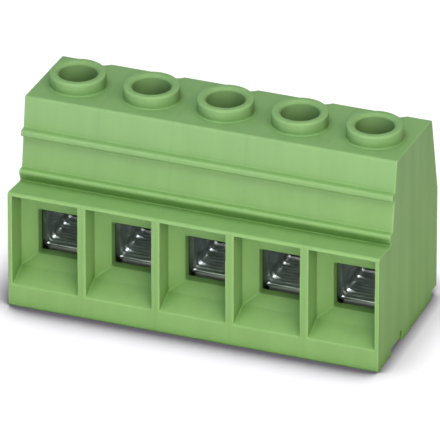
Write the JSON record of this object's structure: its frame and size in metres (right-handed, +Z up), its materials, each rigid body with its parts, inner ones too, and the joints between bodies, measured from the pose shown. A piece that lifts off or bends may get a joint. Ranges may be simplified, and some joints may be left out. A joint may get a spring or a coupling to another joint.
{
  "type": "pcb screw terminal",
  "caption": "Green board terminal block in one row, with a screw-driven tension sleeve clamp behind each square wire funnel and solder pins below.",
  "frame": {"origin": "middle of the solder pin pattern, in the plane of the board's top face", "axes": "+X along the row, +Y from the wire side to the rear, +Z up from the board towards the screws"},
  "size_m": [0.0508, 0.0224, 0.0337],
  "materials": {
    "housing": "satin moulded polyamide",
    "screw": "zinc plated",
    "sleeve": "zinc plated, thick film passivated",
    "contact": "tin plated"
  },
  "bodies": {
    "root": {"housing": "housing", "contact_bar_1": "contact", "contact_bar_2": "contact", "contact_bar_3": "contact", "contact_bar_4": "contact", "contact_bar_5": "contact"},
    "screw_1": {"clamp_screw_1": "screw"},
    "sleeve_1": {"tension_sleeve_1": "sleeve"},
    "screw_2": {"clamp_screw_2": "screw"},
    "sleeve_2": {"tension_sleeve_2": "sleeve"},
    "screw_3": {"clamp_screw_3": "screw"},
    "sleeve_3": {"tension_sleeve_3": "sleeve"},
    "screw_4": {"clamp_screw_4": "screw"},
    "sleeve_4": {"tension_sleeve_4": "sleeve"},
    "screw_5": {"clamp_screw_5": "screw"},
    "sleeve_5": {"tension_sleeve_5": "sleeve"}
  },
  "joints": [
    {"name": "screw_turn_1", "type": "hinge", "parent": "root", "child": "screw_1", "pos_m": [-0.02032, 0.00032, 0.02], "axis": [0, 0, -1], "range_deg": [0, 2880]},
    {"name": "sleeve_lift_1", "type": "slide", "parent": "root", "child": "sleeve_1", "axis": [0, 0, 1], "range_m": [0, 0.0056]},
    {"name": "screw_turn_2", "type": "hinge", "parent": "root", "child": "screw_2", "pos_m": [-0.01016, 0.00032, 0.02], "axis": [0, 0, -1], "range_deg": [0, 2880]},
    {"name": "sleeve_lift_2", "type": "slide", "parent": "root", "child": "sleeve_2", "axis": [0, 0, 1], "range_m": [0, 0.0056]},
    {"name": "screw_turn_3", "type": "hinge", "parent": "root", "child": "screw_3", "pos_m": [0, 0.00032, 0.02], "axis": [0, 0, -1], "range_deg": [0, 2880]},
    {"name": "sleeve_lift_3", "type": "slide", "parent": "root", "child": "sleeve_3", "axis": [0, 0, 1], "range_m": [0, 0.0056]},
    {"name": "screw_turn_4", "type": "hinge", "parent": "root", "child": "screw_4", "pos_m": [0.01016, 0.00032, 0.02], "axis": [0, 0, -1], "range_deg": [0, 2880]},
    {"name": "sleeve_lift_4", "type": "slide", "parent": "root", "child": "sleeve_4", "axis": [0, 0, 1], "range_m": [0, 0.0056]},
    {"name": "screw_turn_5", "type": "hinge", "parent": "root", "child": "screw_5", "pos_m": [0.02032, 0.00032, 0.02], "axis": [0, 0, -1], "range_deg": [0, 2880]},
    {"name": "sleeve_lift_5", "type": "slide", "parent": "root", "child": "sleeve_5", "axis": [0, 0, 1], "range_m": [0, 0.0056]}
  ],
  "couplings": [
    {"joint": "screw_turn_1", "follows": "sleeve_lift_1", "rad_per_m": 8976},
    {"joint": "screw_turn_2", "follows": "sleeve_lift_2", "rad_per_m": 8976},
    {"joint": "screw_turn_3", "follows": "sleeve_lift_3", "rad_per_m": 8976},
    {"joint": "screw_turn_4", "follows": "sleeve_lift_4", "rad_per_m": 8976},
    {"joint": "screw_turn_5", "follows": "sleeve_lift_5", "rad_per_m": 8976}
  ]
}
